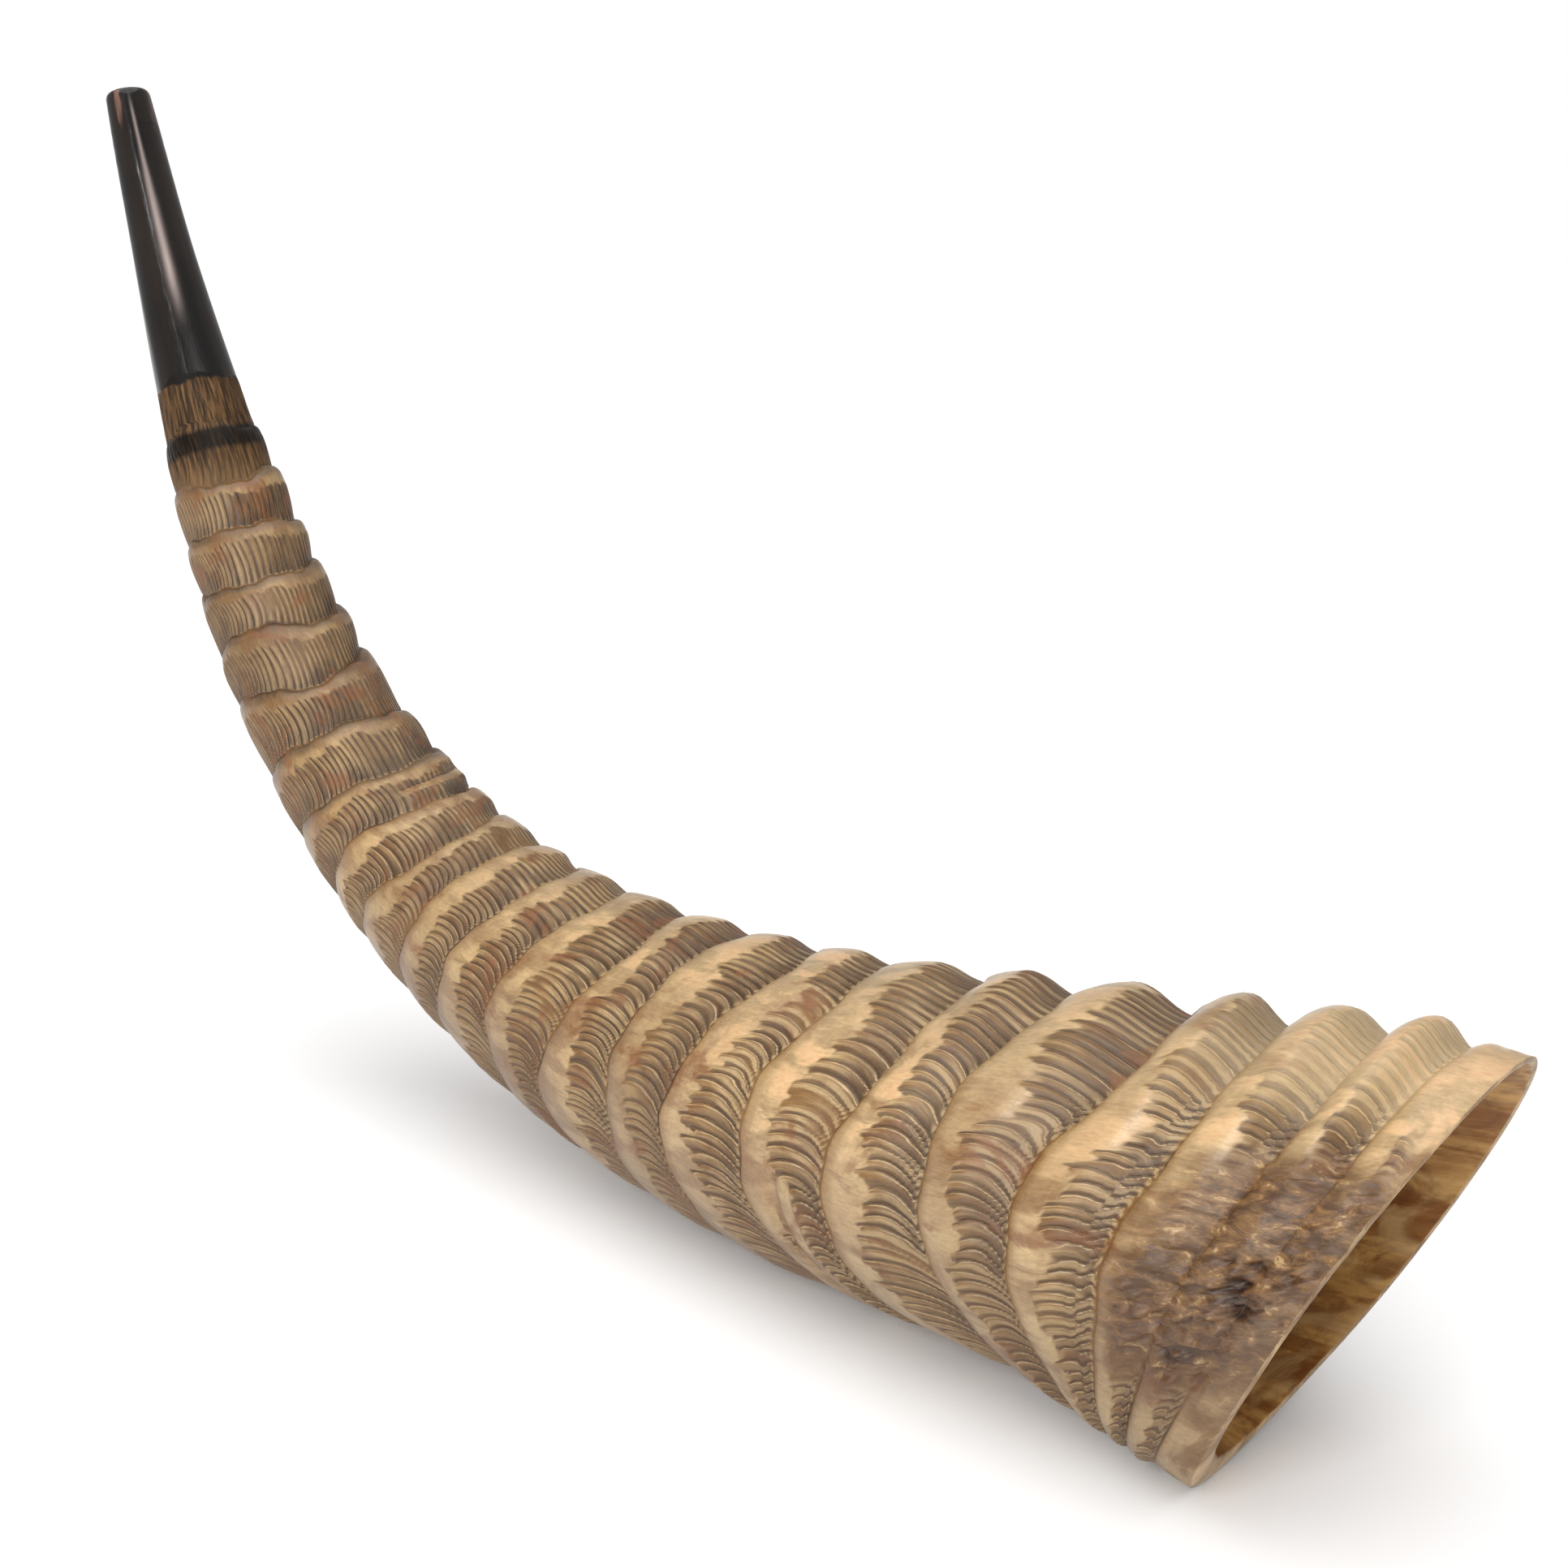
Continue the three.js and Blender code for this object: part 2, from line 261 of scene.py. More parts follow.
def skin(rho, phi):
    """The outside of the horn. rho is the ring number plus the share of its period; -1 is the lip.
    Returns points in millimetres, the masks that the materials use, and the horn laid straight."""
    rho, phi = np.broadcast_arrays(rho, phi)
    k = np.clip(np.floor(rho + 1e-9).astype(int), -1, LAST - 1)
    f = np.clip(rho - k, 0, 1)
    cols = phi[0]
    lines = np.stack([ring_line(i, cols) for i in range(LAST + 1)])
    lines = np.vstack([lines, np.zeros_like(cols)])          # index -1: the lip
    column = np.arange(len(cols))[None, :]
    start, end = lines[k, column], lines[k + 1, column]
    s = mix(start, end, f)
    at = along(s, phi, cut_at(rim_radius, cols)[None, :])
    mean = mean_radius(at, phi)
    around = round_radius(s)
    fx, fy, fz = s * LENGTH, around * np.cos(phi), around * np.sin(phi)      # the horn laid straight, mm

    ringed = step(k + 0.0, -0.5, 0.5)
    late = step(s, 0.34, 0.56)
    lift = mix(np.interp(f, *TIP_SHAPE.T), np.interp(f, *BELL_SHAPE.T), late)
    crest_end = mix(0.27, 0.44, late) * (1 + 0.34 * noise(fx * 0.02, fy * 0.10, fz * 0.10, 5)
                                         + 0.24 * noise(fx * 0.02, fy * 0.6, fz * 0.6, 6))
    crest = step(f, 0.01, 0.05) * (1 - step(f, crest_end, crest_end + 0.07))
    under = np.zeros_like(f)
    for ring, share, angle, half, strength in FORKS:
        away = apart(phi, math.radians(angle))
        w = (k == ring) * (1 - step(away, math.radians(half) * 0.72, math.radians(half))) * strength
        g = np.clip((f - share) / (1 - share), 0, 1)
        extra = np.interp(g, *BELL_SHAPE.T) * 0.85
        lift = np.where(f > share, mix(lift, extra, w), lift - 0.50 * w * step(f, share - 0.2, share))
        crest = np.where(f > share, mix(crest, step(g, 0.02, 0.1) * (1 - step(g, 0.34, 0.46)), w), crest)
        crest_end = np.where(f > share, mix(crest_end, share + 0.4 * (1 - share), w), crest_end)
        under = np.maximum(under, w * np.exp(-((f - share) / 0.025) ** 2))

    relief = relief_at(at, phi)
    relief = relief * (1 + 0.16 * noise(k * 3.7, np.cos(phi) * 1.3, np.sin(phi) * 1.3, 11))
    back = apart(phi, np.pi)
    rubbed = np.exp(-((s - RUBBED_AT) / RUBBED_SPREAD) ** 2) * (1 - step(back, 0.5, 1.0))
    relief = relief * (1 - 0.85 * rubbed) * (1 + 0.35 * step(s, 0.84, 0.93) * step(np.cos(phi), 0.5, 0.95)
                                             + 0.30 * (1 - step(s, 0.30, 0.50)))

    # Crust and cracks on the near flank by the mouth, and a scraped strip along the rim.
    edge = 0.985 + 0.009 * step(apart(phi, STRIP_ANGLE), 0.75, 0.35)
    strip = step(s + 0.003 * noise(fx * 0.02, fy * 0.08, fz * 0.08, 32), edge, edge + 0.006)
    ragged = s + 0.016 * noise(fx * 0.04, fy * 0.05, fz * 0.05, 33)
    flank = step(-phi_signed(phi), 0.60, 0.95) * (1 - step(-phi_signed(phi), 1.8, 2.3))
    mouth = step(ragged, 0.938, 0.968) * flank
    crust = step(ragged, 0.948, 0.968) * flank
    crust = crust * step(fbm(fx * 0.05, fy * 0.05, fz * 0.05, 2, 31), -0.35, -0.05)
    crust = crust * (1 - 0.8 * strip)
    lift = mix(lift, 0.0, 0.5 * mouth)

    # Flutes: fine curved fingers from the crest down to the next ring.
    width = mix(FLUTE_WIDTH[0], FLUTE_WIDTH[1], step(RINGS[np.maximum(k, 0)], 0.3, 0.85))
    count = np.maximum(8, np.round(TAU * round_radius(RINGS[np.maximum(k, 0)]) / width))
    q = np.clip((f - crest_end) / (1 - crest_end), 0, 1)
    curl = FLUTE_CURL * (1 + 0.35 * noise(k * 2.1, np.cos(phi) * 2, np.sin(phi) * 2, 20))
    bow = curl * q * q - FLUTE_BOW * 4 * q * (1 - q)
    curled = phi - np.sin(phi) * bow * (1 - np.maximum(mouth, strip))
    fy, fz = around * np.cos(curled), around * np.sin(curled)
    turn = (count * curled + 5.0 * noise(fx * 0.02, fy * 0.10, fz * 0.10, 21) + k * 1.9
            + 1.7 * noise(fx * 0.04, fy * 0.27, fz * 0.27, 22))
    wave = np.cos(turn)
    ridge = 1 - np.clip(0.5 + 0.5 * np.cos(turn + 0.5 * np.sin(turn)), 0, 1) ** 2.2
    vary = 0.66 + 0.95 * fbm(fx * 0.05, fy * 0.11, fz * 0.11, 3, 23)
    fluted = step(f, crest_end - 0.02, crest_end + 0.10) * (1 - 0.5 * step(f, 0.94, 1.0)) * ringed
    bare = (1 - 0.85 * rubbed) * (1 - crust) * (1 - 0.7 * mouth) * (1 - strip)
    fluted = fluted * bare * np.clip(vary, 0.06, 1.1)
    fluted = fluted * (1 - 0.35 * step(back, 0.9, 0.3))
    depth = mix(FLUTE_DEPTH[0], FLUTE_DEPTH[1], step(s, 0.25, 0.8))
    carve = depth * fluted * (0.62 - ridge)

    # The neck is scraped, with lengthwise fibres.
    neck = (1 - ringed) * step(s, POLISH_END - 0.001, POLISH_END + 0.004)
    fibre = noise(fx * 0.05, fy * 1.1, fz * 1.1, 41) + 0.5 * noise(fx * 0.12, fy * 2.3, fz * 2.3, 42)
    carve = carve + neck * 0.16 * fibre

    scraped = SCRAPED * step(at, 0, 0.1) * (1 - step(at, POLISH_END, NECK_END))
    worn = 1 - 0.7 * step(RINGS[np.maximum(k, 0)], 0.96, 0.975)
    lift = -0.45 + (lift + 0.45) * worn
    r = mean - scraped + relief * lift * (1 - 0.5 * strip) * ringed - 0.22 * relief * strip
    r = r - (1 - ringed) * step(s, 0.165, 0.189) * 0.45 * relief
    r = r - carve
    r = r + 0.30 * fbm(fx * 0.035, fy * 0.05, fz * 0.05, 2, 51) * ringed * (1 - 0.5 * strip)
    r = r + 0.09 * noise(fx * 0.02, fy * 0.12, fz * 0.12, 52) * (1 - ringed)
    r = r + crest * 0.06 * noise(fx * 0.9, fy * 0.1, fz * 0.1, 53)
    lumps = fbm(fx * 0.14, fy * 0.18, fz * 0.18, 2, 61) + 0.6 * noise(fx * 0.42, fy * 0.5, fz * 0.5, 64)
    cracks = 1 - step(np.abs(noise(fx * 0.10, fy * 0.12, fz * 0.12, 62)
                             + 0.5 * noise(fx * 0.30, fy * 0.34, fz * 0.34, 63)), 0.0, 0.10)
    pits = sum(size * np.exp(-((s - place_s) / 0.010) ** 2 - (apart(phi, math.radians(angle)) / wide) ** 2)
               for place_s, angle, wide, size in PITS)
    pits = np.clip(pits, 0, 1) * step(fbm(fx * 0.22, fy * 0.36, fz * 0.36, 3, 65), -0.12, 0.12)
    cracks = np.clip(cracks * (0.30 + 1.2 * pits), 0, 1)
    r = r + crust * (1.7 * lumps - 1.2 * cracks - 1.2 * pits) + 0.5 * mouth * (1 - crust) * lumps
    # Dark notch lines: partly real cracks, partly painted shadow in the notches; the same mask also cuts a
    # shallow groove.
    notch_crack_and_shade = np.exp(-(f / 0.022) ** 2) + np.exp(-((1 - f) / 0.022) ** 2)
    notch_crack_and_shade = notch_crack_and_shade * step(noise(k * 5.3 + fx * 0.02, fy * 0.1, fz * 0.1, 71), -0.15, 0.45) * ringed
    notch_crack_and_shade = np.maximum(notch_crack_and_shade * (1 - strip) * (1 - rubbed) * (1 - 0.85 * mouth), under)
    r = r - 0.40 * notch_crack_and_shade * step(s, 0.18, 0.24)

    # Painted highlights: along the top of the bell by the mouth, and over the upper crests.
    top_lit = step(s, 0.90, 0.97) * (1 - step(apart(phi, TOP_ANGLE), 0.35, 0.85))
    crest_lit = 0.45 * crest * step(s, 0.42, 0.60) * (1 - mouth)
    crest_lit = crest_lit * (1 - step(apart(phi, CREST_ANGLE), 0.35, 1.1))
    masks = {
        "crest": crest * ringed * (1 - crust) * (1 - 0.8 * rubbed) * (1 - 0.6 * mouth),
        "fluted": fluted,
        "wave_c": wave,
        "wave_s": np.sin(turn),
        "share_f": f * ringed,
        "notch_crack_and_shade": np.clip(notch_crack_and_shade, 0, 1),
        "crack": cracks * crust,
        "rub": rubbed,
        "rim": strip,
        "share": s,
        # darker away from the top: partly browner horn, partly painted shade on the underside
        "under": step(apart(phi, TOP_ANGLE), 1.0, 2.5),
        "mouth": mouth,
        "gleam": gleam_at(s, phi),
        "pits": pits * crust,
        "lit": np.maximum(top_lit, crest_lit),
        "tone": noise(k * 7.7, np.cos(phi) * 0.8, np.sin(phi) * 0.8, 81),
    }
    return place(at, r, phi), masks, np.stack([fx, fy, fz], -1) * MM


def bore(s, phi):
    """The inside of the horn."""
    s, phi = np.broadcast_arrays(s, phi)
    at = along(s, phi, cut_at(inner_radius, phi[0])[None, :])
    r = inner_radius(at, phi)
    fx, fy, fz = s * LENGTH, r * np.cos(phi), r * np.sin(phi)
    r = r + step(s, 0.35, 0.6) * (0.45 * fbm(fx * 0.02, fy * 0.09, fz * 0.09, 3, 91)
                                  - 0.15 * noise(fx * 0.05, fy * 0.8, fz * 0.8, 92))
    return place(at, r, phi), np.stack([fx, fy, fz], -1) * MM


# ---------------------------------------------------------------- mesh making
MASKS = ("crest", "fluted", "wave_c", "wave_s", "share_f", "notch_crack_and_shade", "crack", "rub", "rim", "share",
         "tone", "inside", "under", "lit", "mouth", "pits", "gleam")


def normals_of(points):
    across = np.roll(points, -1, 1) - np.roll(points, 1, 1)
    down = np.gradient(points, axis=0)
    n = np.cross(down, across)
    return n / np.maximum(np.linalg.norm(n, axis=-1, keepdims=True), 1e-12)


def make_piece(name, points, normals, masks, flat):
    """A closed sleeve from loops of points, going round from the outside to the inside."""
    rows, cols = points.shape[:2]
    me = bpy.data.meshes.new(name)
    i = np.arange(rows * cols).reshape(rows, cols)
    a, b = i, np.roll(i, -1, 0)
    quads = np.stack([a, b, np.roll(b, -1, 1), np.roll(a, -1, 1)], -1).reshape(-1, 4)
    me.vertices.add(rows * cols)
    me.vertices.foreach_set("co", (points.reshape(-1, 3) * MM).ravel())
    me.loops.add(quads.size)
    me.loops.foreach_set("vertex_index", quads.ravel().astype(np.int32))
    me.polygons.add(len(quads))
    me.polygons.foreach_set("loop_start", np.arange(0, quads.size, 4, dtype=np.int32))
    me.update(calc_edges=True)
    me.shade_smooth()
    for key in MASKS:
        layer = me.attributes.new(key, "FLOAT", "POINT")
        layer.data.foreach_set("value", masks[key].astype(np.float32).ravel())
    layer = me.attributes.new("laid", "FLOAT_VECTOR", "POINT")
    layer.data.foreach_set("vector", flat.reshape(-1, 3).astype(np.float32).ravel())
    me.normals_split_custom_set_from_vertices(normals.reshape(-1, 3))
    piece = bpy.data.objects.new(name, me)
    bpy.context.scene.collection.objects.link(piece)
    return piece


def stack(parts):
    """Joins loops of points with their normals, masks and laid-out places."""
    points = np.concatenate([p[0] for p in parts])
    normals = np.concatenate([p[1] for p in parts])
    flat = np.concatenate([p[3] for p in parts])
    masks = {key: np.concatenate([np.broadcast_to(p[2].get(key, 0.0), p[0].shape[:2]) for p in parts])
             for key in MASKS}
    return points, normals, masks, flat


def outside(rho, phi):
    """Outer loops with normals worked out on one more loop at each end."""
    grown = np.concatenate([[rho[0] - (rho[1] - rho[0])], rho, [rho[-1] + (rho[-1] - rho[-2])]])
    points, masks, flat = skin(np.clip(grown, -1, LAST)[:, None], phi)
    normals = normals_of(points)
    return points[1:-1], normals[1:-1], {k: v[1:-1] for k, v in masks.items()}, flat[1:-1]


def lining(s, phi):
    """Inner loops, running back from the mouth, with normals that face the bore."""
    grown = np.concatenate([[s[0] * 2 - s[1]], s, [s[-1] * 2 - s[-2]]])
    points, flat = bore(np.clip(grown, 0, 1)[:, None], phi)
    share = np.broadcast_to(grown[:, None], points.shape[:2])
    points, normals, share, flat = (v[1:-1][::-1] for v in (points, -normals_of(points), share, flat))
    return points, normals, {"share": share, "inside": 1.0}, flat


FINE = (0, .015, .04, .08, .14, .22, .30, .37, .43, .49, .55, .605, .66, .71, .76, .805, .85, .89, .93, .97)
COARSE = (0, .03, .08, .15, .24, .34, .42, .50, .58, .66, .75, .84, .93)


RIM_BULGE = 0.55                      # how far the sawn edge rounds out, mm


def ring_rows(first, last):
    """Loops of rings first to last: FINE ones, and COARSE ones where the last rings crowd."""
    rows = [k + f for k in range(first, last) for f in (FINE if RINGS[k] < 0.9 else COARSE)]
    return np.array(rows + [float(last)])


def angles(n):
    return (np.arange(n) / n * TAU)[None, :]


def sleeve(name, rho, s, n, edge=None):
    """A zone's skin and lining, with n points round it, and an edge between them where it has one."""
    phi = angles(n)
    outer, inner = outside(rho, phi), lining(s, phi)
    between = [edge(outer, inner)] if edge else []
    return make_piece(name, *stack([outer, *between, inner]))


def rim(outer, inner):
    """A thin rounded edge between the outside and the lining at the mouth."""
    a, b = outer[0][-1], inner[0][0]
    loops, normals, flat = [], [], []
    for t in (0.1, 0.25, 0.5, 0.75, 0.9):
        bulge = RIM_BULGE * math.sin(math.pi * t) ** 0.6
        loops.append(mix(a, b, t) + CUT_NORMAL * bulge)
        side = mix(outer[1][-1], inner[1][0], t) * abs(math.cos(math.pi * t)) + CUT_NORMAL * 1.2
        normals.append(side / np.linalg.norm(side, axis=-1, keepdims=True))
        flat.append(mix(outer[3][-1], inner[3][0], t))
    masks = {"rim": 1.0, "share": 1.0, "inside": 0.25}
    return np.array(loops), np.array(normals), masks, np.array(flat)


NECK, UPPER, MIDDLE = notch(0.23), notch(0.45), notch(0.74)
POLISH_RHO = POLISH_END / RINGS[0] - 1
LIP_RHO = LIP_END / RINGS[0] - 1
LIP_ROUND, LIP_SIDE, LIP_SHOULDER = 2.4, 6.95, 1.65     # length, outer radius, width of its rounding, mm


def lip_piece():
    """Rounded lip, shallow cup and the first of the bore."""
    phi = angles(200)
    end = LIP_END * LENGTH
    t = np.array([0, .05, .15, .35, .65, 1.05, 1.6, LIP_ROUND])
    r = LIP_SIDE - LIP_SHOULDER + LIP_SHOULDER * np.sqrt(1 - (1 - t / LIP_ROUND) ** 2)
    outer = [(a, b) for a, b in zip(t, r)]
    join = round_radius(LIP_END) - SCRAPED * float(step(LIP_END, 0, 0.1))
    outer += [(a, mix(LIP_SIDE, join, (a - LIP_ROUND) / (end - LIP_ROUND)))
              for a in np.linspace(3.6, end, 8)]
    cup = [(0.06, 4.58), (0.25, 4.42), (0.8, 4.15), (1.8, 3.85), (3.0, 3.45), (4.3, 2.95), (5.6, 2.42),
           (6.6, 2.12), (7.5, 2.0), (end, THROAT_R + BORE_GAIN * LIP_END)]
    loops = [(0.0, 5.0)] + outer + cup[::-1] + [(0.0, 4.8)]
    pts = np.concatenate([place(a / LENGTH, b, phi) for a, b in loops])
    nrm = np.cross(np.roll(pts, -1, 0) - np.roll(pts, 1, 0), np.roll(pts, -1, 1) - np.roll(pts, 1, 1))
    nrm /= np.maximum(np.linalg.norm(nrm, axis=-1, keepdims=True), 1e-12)
    nrm[len(outer)] = nrm[len(outer) - 1]          # the join with the tip stays smooth
    flat = np.concatenate([np.stack(np.broadcast_arrays(a, b * np.cos(phi), b * np.sin(phi)), -1)
                           for a, b in loops]) * MM
    share = np.array([a for a, _ in loops])[:, None] / LENGTH + 0 * phi
    masks = {"share": share, "gleam": gleam_at(share, phi)}
    return make_piece("lip_skin", *stack([(pts, nrm, masks, flat)]))


pieces = {
    "lip": lip_piece(),
    "tip": sleeve("tip_skin", np.linspace(LIP_RHO, POLISH_RHO, 60),
                  np.linspace(LIP_END, POLISH_END, 6), 240),
    "neck": sleeve("neck_skin", np.r_[np.linspace(POLISH_RHO, 0, 26)[:-1], ring_rows(0, NECK)],
                   np.linspace(POLISH_END, RINGS[NECK], 4), 480),
    "upper": sleeve("upper_rings_skin", ring_rows(NECK, UPPER),
                    np.linspace(RINGS[NECK], RINGS[UPPER], 10), 560),
    "middle": sleeve("middle_rings_skin", ring_rows(UPPER, MIDDLE),
                     np.linspace(RINGS[UPPER], RINGS[MIDDLE], 10), 640),
    "bell": sleeve("bell_skin", ring_rows(MIDDLE, LAST),
                   np.linspace(RINGS[MIDDLE], 1, 16), 640, rim),
}
for key, node, slot in (("lip", "mouthpiece_lip", "lip_horn"), ("tip", "polished_tip", "black_horn"),
                        ("neck", "scraped_neck", "neck_horn"), ("upper", "ring_zone_upper", "upper_horn"),
                        ("middle", "ring_zone_middle", "middle_horn"), ("bell", "bell", "bell_horn")):
    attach(pieces[key], "root")
    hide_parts(node)


# ---------------------------------------------------------------- materials
def lin(r, g, b):
    """A colour given as 0..255 on screen, as the shader wants it."""
    c = np.array([r, g, b]) / 255
    c = np.where(c <= 0.04045, c / 12.92, ((c + 0.055) / 1.055) ** 2.4)
    return (*c.tolist(), 1.0)


class Graph:
    """Short names for building a node material."""

    def __init__(self, name):
        self.mat = bpy.data.materials.new(name)
        self.mat.use_nodes = True
        self.tree = self.mat.node_tree
        self.tree.nodes.clear()

    def node(self, kind, **values):
        n = self.tree.nodes.new(kind)
        for key, value in values.items():
            setattr(n, key, value)
        return n

    def link(self, a, b):
        self.tree.links.new(a, b)

    def put(self, socket, value):
        if hasattr(value, "is_output"):
            self.link(value, socket)
        else:
            socket.default_value = value

    def mask(self, name):
        return self.node("ShaderNodeAttribute", attribute_name=name).outputs["Fac"]

    def laid(self, x, y):
        """The horn laid straight, scaled x times along it and y times round it."""
        a = self.node("ShaderNodeAttribute", attribute_name="laid").outputs["Vector"]
        m = self.node("ShaderNodeMapping")
        m.inputs["Scale"].default_value = (x, y, y)
        self.link(a, m.inputs["Vector"])
        return m.outputs["Vector"]

    def noise(self, x, y, detail=4.0, rough=0.55, twist=0.0, shift=0.0):
        n = self.node("ShaderNodeTexNoise")
        n.inputs["Scale"].default_value = 1.0
        n.inputs["Detail"].default_value = detail
        n.inputs["Roughness"].default_value = rough
        n.inputs["Distortion"].default_value = twist
        m = self.laid(x, y)
        if shift:
            add = self.node("ShaderNodeVectorMath", operation="ADD")
            add.inputs[1].default_value = (shift, shift, shift)
            self.link(m, add.inputs[0])
            m = add.outputs[0]
        self.link(m, n.inputs["Vector"])
        return n.outputs["Fac"]

    def wave(self, angle):
        """1 where a flute's phase is at this angle, -1 half a flute away."""
        both = self.node("ShaderNodeCombineXYZ")
        self.link(self.mask("wave_c"), both.inputs[0])
        self.link(self.mask("wave_s"), both.inputs[1])
        unit = self.node("ShaderNodeVectorMath", operation="NORMALIZE")
        self.link(both.outputs[0], unit.inputs[0])
        dot = self.node("ShaderNodeVectorMath", operation="DOT_PRODUCT")
        dot.inputs[1].default_value = (math.cos(angle), math.sin(angle), 0)
        self.link(unit.outputs[0], dot.inputs[0])
        return dot.outputs["Value"]

    def math(self, op, a, b=0.0, clamp=False):
        n = self.node("ShaderNodeMath", operation=op, use_clamp=clamp)
        self.put(n.inputs[0], a)
        self.put(n.inputs[1], b)
        return n.outputs[0]

    def range(self, value, a, b, c=0.0, d=1.0):
        n = self.node("ShaderNodeMapRange", interpolation_type="SMOOTHSTEP")
        for socket, v in zip(n.inputs[:5], (value, a, b, c, d)):
            self.put(socket, v)
        return n.outputs[0]

    def mix(self, factor, a, b, blend="MIX"):
        n = self.node("ShaderNodeMix", data_type="RGBA", blend_type=blend)
        self.put(n.inputs[0], factor)
        self.put(n.inputs[6], a)
        self.put(n.inputs[7], b)
        return n.outputs[2]

    def over(self, under, top, mask, amount):
        """Lays one colour over another by a mask, at most by this amount."""
        return self.mix(self.math("MULTIPLY", mask, amount), under, top)

    def finish(self, colour, rough, height=None, strength=0.4, distance=0.0004, **fixed):
        out = self.node("ShaderNodeOutputMaterial")
        bsdf = self.node("ShaderNodeBsdfPrincipled")
        self.put(bsdf.inputs["Base Color"], colour)
        self.put(bsdf.inputs["Roughness"], rough)
        for key, value in fixed.items():
            bsdf.inputs[key.replace("_", " ")].default_value = value
        if height is not None:
            bump = self.node("ShaderNodeBump")
            bump.inputs["Strength"].default_value = strength
            bump.inputs["Distance"].default_value = distance
            self.link(height, bump.inputs["Height"])
            self.link(bump.outputs["Normal"], bsdf.inputs["Normal"])
        self.link(bsdf.outputs[0], out.inputs[0])
        return self.mat


DULL = (0.78, 0.72, 0.62, 1)             # takes the ringed horn down to the photo's level, and warms it


def ringed_horn(name, *tones):
    """Raw ringed horn: cream crests, fluted brown slopes, dark notches that are partly real cracks and
    partly painted shadow, crust, and an amber inside, with painted highlights and painted shade.
    """
    lip, crest, ridge, groove, pale, warm, lining = (lin(*tone) for tone in tones)
    g = Graph(name)
    cloud = g.noise(22, 40, 5, 0.6, 0.4)
    patch = g.noise(45, 60, 4, 0.55, 1.0, 3.1)
    blotch = g.noise(70, 90, 5, 0.6, 1.2, 7.7)
    streak = g.noise(50, 800, 4, 0.6)
    thin = g.noise(90, 1900, 3, 0.6, 0.0, 1.3)
    fine = g.noise(500, 1500, 5, 0.65)
    across = g.noise(1500, 60, 3, 0.6)
    fluted = g.mask("fluted")
    f = g.mask("share_f")

    # the fingers between the flutes: a pale upper edge that is a painted highlight, a golden body, painted
    # shade on the lower side and towards the next notch, and a dark groove of painted shade
    body = g.mix(g.range(patch, 0.36, 0.58), ridge, warm)
    body = g.over(body, pale, g.range(streak, 0.40, 0.68), 0.45)
    body = g.over(body, groove, g.range(g.wave(1.3), -0.2, 1.0), 0.50)
    body = g.over(body, groove, g.range(f, 0.50, 1.0), 0.62)
    # painted highlight: a thin pale line along each finger's upper edge
    edge_highlight = g.math("MULTIPLY", g.range(g.wave(-0.85), 0.86, 0.985), g.range(thin, 0.34, 0.58))
    body = g.over(body, pale, edge_highlight, 0.85)
    # painted shade in each groove between the fingers
    groove_shade = g.math("MULTIPLY", g.range(g.wave(0.05), 0.62, 0.97), g.range(streak, 0.75, 0.35, 0.55, 1.0))
    body = g.over(body, groove, groove_shade, 0.66)
    plain = g.over(ridge, groove, g.range(streak, 0.35, 0.65), 0.5)
    plain = g.mix(g.range(blotch, 0.42, 0.62), plain, warm)
    body = g.mix(g.range(fluted, 0.04, 0.60), plain, body)
    # painted highlight on the rounded starts of the fingers
    tip_highlight = g.math("MULTIPLY", g.range(fluted, 0.02, 0.30), g.range(fluted, 0.85, 0.45))
    tip_highlight = g.math("MULTIPLY", tip_highlight, g.range(g.wave(math.pi), -0.2, 0.8))
    body = g.over(body, pale, tip_highlight, 0.55)

    # the crest: khaki at its lip, pinkish cream over the top, cloudy
    top = g.mix(g.range(f, 0.05, 0.23), lip, crest)
    top = g.over(top, pale, g.range(cloud, 0.36, 0.62), g.range(f, 0.10, 0.30, 0.25, 1.0))
    top = g.over(top, lin(164, 128, 98), g.range(blotch, 0.50, 0.72), 0.55)
    bands = g.noise(34, 150, 4, 0.55, 0.3, 9.4)
    top = g.over(top, lin(146, 108, 70), g.range(bands, 0.48, 0.60), 0.60)
    top = g.over(top, pale, g.range(across, 0.50, 0.78), 0.25)
    colour = g.mix(g.range(g.mask("crest"), 0.15, 0.75), body, top)

    # stains, and the worn patch under the bend
    colour = g.over(colour, lin(116, 90, 64), g.range(g.mask("tone"), -0.3, 0.8), 0.28)
    stain = g.math("MULTIPLY", g.range(patch, 0.50, 0.64), g.range(blotch, 0.42, 0.58))
    colour = g.over(colour, lin(146, 92, 46), stain, 0.70)
    rubbed = g.mix(cloud, lin(132, 92, 68), lin(112, 72, 54))
    colour = g.over(colour, rubbed, g.mask("rub"), 0.80)

    # the scraped strip along the rim, and the crust and its pits beside it
    scraped = g.mix(g.range(blotch, 0.42, 0.60), lin(222, 196, 156), lin(166, 134, 92))
    scraped = g.over(scraped, lin(138, 98, 54), g.range(patch, 0.50, 0.62), 0.7)
    colour = g.mix(g.mask("rim"), colour, scraped)
    spots = g.noise(240, 330, 6, 0.68, 0.5, 5.2)
    crusty = g.mix(g.range(spots, 0.40, 0.60), lin(80, 52, 30), lin(152, 116, 76))
    crusty = g.over(crusty, lin(116, 88, 72), g.range(cloud, 0.48, 0.62), 0.5)
    crusty = g.mix(g.range(spots, 0.58, 0.66), crusty, lin(222, 194, 150))
    colour = g.over(colour, crusty, g.mask("mouth"), 0.85)
    colour = g.mix(g.range(g.mask("pits"), 0.1, 0.9, 0.0, 0.85), colour, lin(50, 32, 30))
    colour = g.mix(g.range(g.mask("crack"), 0.1, 0.8), colour, lin(52, 34, 32))

